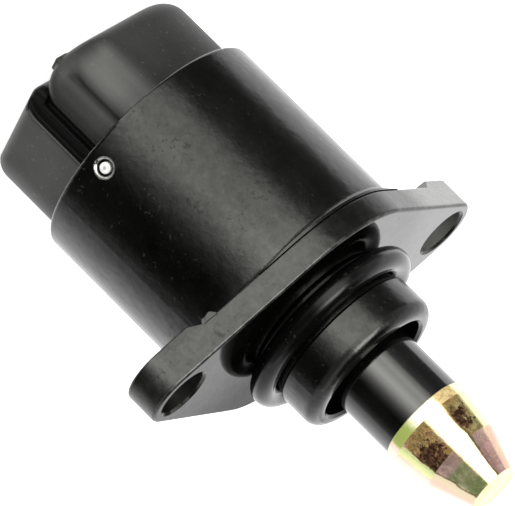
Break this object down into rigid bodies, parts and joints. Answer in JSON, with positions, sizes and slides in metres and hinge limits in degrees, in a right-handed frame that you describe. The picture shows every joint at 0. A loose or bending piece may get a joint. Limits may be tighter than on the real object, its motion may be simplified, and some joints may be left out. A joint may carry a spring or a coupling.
{
  "type": "idle air control valve",
  "caption": "Stepper-driven idle air valve: cast can with a two-hole flange, sealing ring, moulded socket end and a sliding metering cone.",
  "frame": {"origin": "centre of the flange's mounting face, on the valve's axis", "axes": "+Z along the axis towards the tip of the metering cone, +X through one of the two mounting holes"},
  "size_m": [0.0598, 0.034, 0.0742],
  "materials": {
    "cast_housing": "black-coated casting, semi-gloss",
    "ring_rubber": "smooth black rubber",
    "cap_plastic": "moulded, fine satin",
    "seal_rubber": "smooth black rubber",
    "pin_steel": "bright turned end",
    "contact_tin": "tin plated",
    "guide_plastic": "natural bearing plastic",
    "spring_steel": "hardened strip",
    "plate_steel": "zinc plated",
    "race_steel": "ground",
    "ball_steel": "polished",
    "cage_brass": "pressed",
    "pole_iron": "zinc plated",
    "bobbin_plastic": "natural moulding",
    "coil_copper": "enamelled copper wire",
    "bush_bronze": "sintered bronze",
    "magnet_ferrite": "sintered magnet",
    "hub_brass": "turned",
    "screw_steel": "rolled thread, oiled",
    "sleeve_black": "black anodised, semi-gloss",
    "cone_plated": "yellow chromate over zinc, iridescent"
  },
  "bodies": {
    "valve_body": {"housing": "cast_housing", "nose_o_ring": "ring_rubber", "connector_cap": "cap_plastic", "cap_seal_ring": "seal_rubber", "retaining_pin_1": "pin_steel", "retaining_pin_2": "pin_steel", "retaining_pin_3": "pin_steel", "terminal_1": "contact_tin", "terminal_2": "contact_tin", "terminal_3": "contact_tin", "terminal_4": "contact_tin", "screw_guide": "guide_plastic", "stack_spring_washer": "spring_steel", "bearing_plate": "plate_steel", "bearing_outer_race": "race_steel", "stator_cup_front": "pole_iron", "bobbin_front": "bobbin_plastic", "coil_front": "coil_copper", "pole_plate_front": "pole_iron", "stator_cup_rear": "pole_iron", "bobbin_rear": "bobbin_plastic", "coil_rear": "coil_copper", "pole_plate_rear": "pole_iron", "rear_bush": "bush_bronze"},
    "rotor": {"rotor_magnet": "magnet_ferrite", "rotor_hub": "hub_brass", "bearing_inner_race": "race_steel"},
    "ball_set": {"bearing_balls": "ball_steel", "bearing_cage": "cage_brass"},
    "pintle": {"lead_screw": "screw_steel", "pintle_sleeve": "sleeve_black", "pintle_cone": "cone_plated"}
  },
  "joints": [
    {"name": "pintle_slide", "type": "slide", "parent": "valve_body", "child": "pintle", "axis": [0, 0, 1], "range_m": [-0.007, 0.0015]},
    {"name": "rotor_spin", "type": "hinge", "parent": "valve_body", "child": "rotor", "pos_m": [0, 0, -0.02], "axis": [0, 0, 1], "range_deg": [-542, 2522]},
    {"name": "ball_set_spin", "type": "hinge", "parent": "valve_body", "child": "ball_set", "pos_m": [0, 0, -0.0136], "axis": [0, 0, 1], "range_deg": [-230, 1060]}
  ],
  "couplings": [
    {"joint": "rotor_spin", "follows": "pintle_slide", "rad_per_m": -6283.2},
    {"joint": "ball_set_spin", "follows": "pintle_slide", "rad_per_m": -2620.1}
  ]
}
